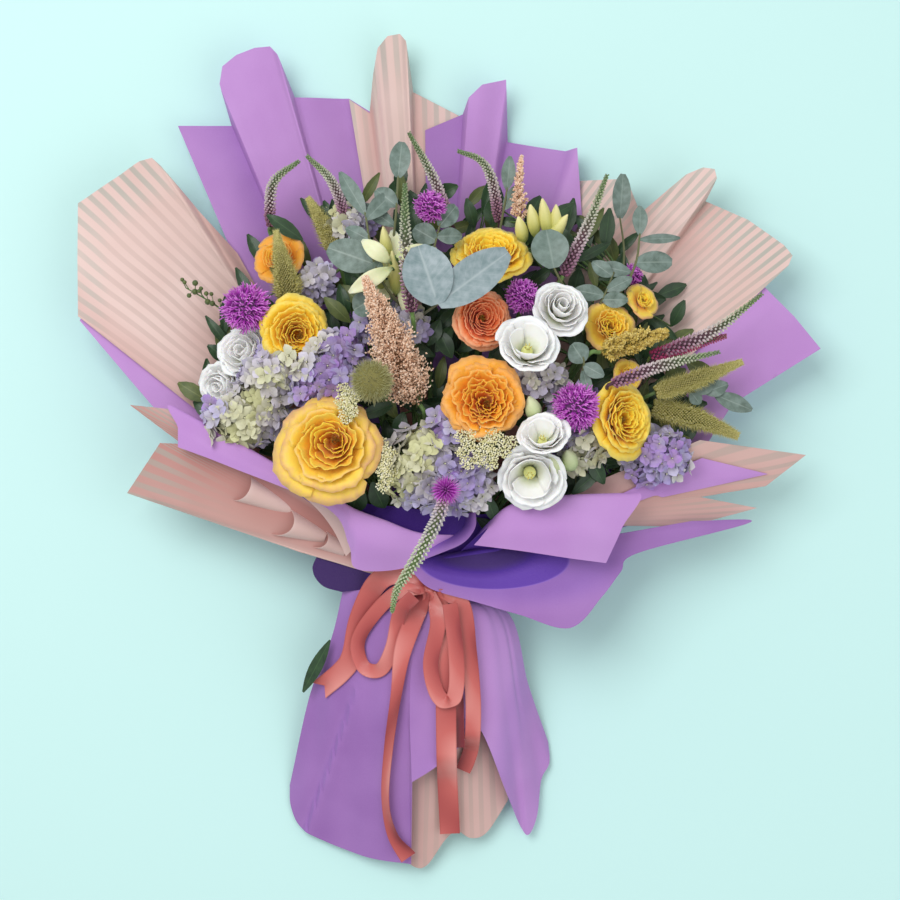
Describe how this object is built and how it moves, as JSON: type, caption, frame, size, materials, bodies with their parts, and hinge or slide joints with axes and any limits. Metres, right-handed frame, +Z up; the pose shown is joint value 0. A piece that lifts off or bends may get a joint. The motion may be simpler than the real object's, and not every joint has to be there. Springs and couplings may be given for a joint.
{
  "type": "flower arrangement",
  "caption": "Hand-tied bouquet of roses, lisianthus, hydrangea, thistles and eucalyptus, wrapped in lilac and striped paper, tied with satin ribbon, lying on its back.",
  "frame": {"origin": "centre of the bounding box, on the surface that the bouquet lies on", "axes": "+Z up, towards the blooms' faces; +Y from the tie towards the top of the bouquet; +X to the right as seen from above with the stems towards the viewer"},
  "size_m": [0.6808, 0.7712, 0.1997],
  "materials": {
    "lilac_paper": "matte",
    "striped_paper": "matte",
    "ribbon": "satin",
    "stems": "matte",
    "yellow_rose": "matte",
    "peach_rose": "matte",
    "coral_rose": "matte",
    "lisianthus": "matte",
    "lily": "matte",
    "thistle": "matte",
    "hydrangea": "matte",
    "eucalyptus": "matte",
    "foxtail": "matte",
    "astilbe": "matte",
    "lace_flower": "matte",
    "veronica": "matte"
  },
  "bodies": {
    "root": {"astilbe_back": "astilbe", "astilbe_front": "astilbe", "eucalyptus_left": "eucalyptus", "eucalyptus_right": "eucalyptus", "foxtail_back": "foxtail", "foxtail_left": "foxtail", "foxtail_right": "foxtail", "hydrangea_centre": "hydrangea", "hydrangea_left": "hydrangea", "hydrangea_mid": "hydrangea", "hydrangea_right": "hydrangea", "hydrangea_top": "hydrangea", "lace_centre": "lace_flower", "lace_left": "lace_flower", "lilac_back_left": "lilac_paper", "lilac_back_right": "lilac_paper", "lilac_collar": "lilac_paper", "lilac_flap": "lilac_paper", "lilac_fold_right": "lilac_paper", "lilac_liner": "lilac_paper", "lilac_lip": "lilac_paper", "lilac_right": "lilac_paper", "lily": "lily", "lisianthus_centre": "lisianthus", "lisianthus_left": "lisianthus", "lisianthus_low": "lisianthus", "lisianthus_mid": "lisianthus", "lisianthus_upper": "lisianthus", "ribbon": "ribbon", "rose_centre": "peach_rose", "rose_coral": "coral_rose", "rose_far_left": "peach_rose", "rose_front_left": "yellow_rose", "rose_left": "yellow_rose", "rose_right": "yellow_rose", "rose_spray": "yellow_rose", "rose_top": "yellow_rose", "seed_ball": "foxtail", "skirt_back": "lilac_paper", "skirt_front": "lilac_paper", "skirt_stripe": "striped_paper", "solidago": "foxtail", "stems": "stems", "stripe_back": "striped_paper", "stripe_back_right": "striped_paper", "stripe_left": "striped_paper", "stripe_low_left": "striped_paper", "stripe_low_right": "striped_paper", "thistle_left": "thistle", "thistle_mid": "thistle", "thistle_right": "thistle", "thistle_small": "thistle", "thistle_top": "thistle", "veronica_centre": "veronica", "veronica_far_left": "veronica", "veronica_far_right": "veronica", "veronica_front": "veronica", "veronica_left": "veronica", "veronica_right": "veronica", "veronica_top": "veronica"}
  },
  "joints": []
}
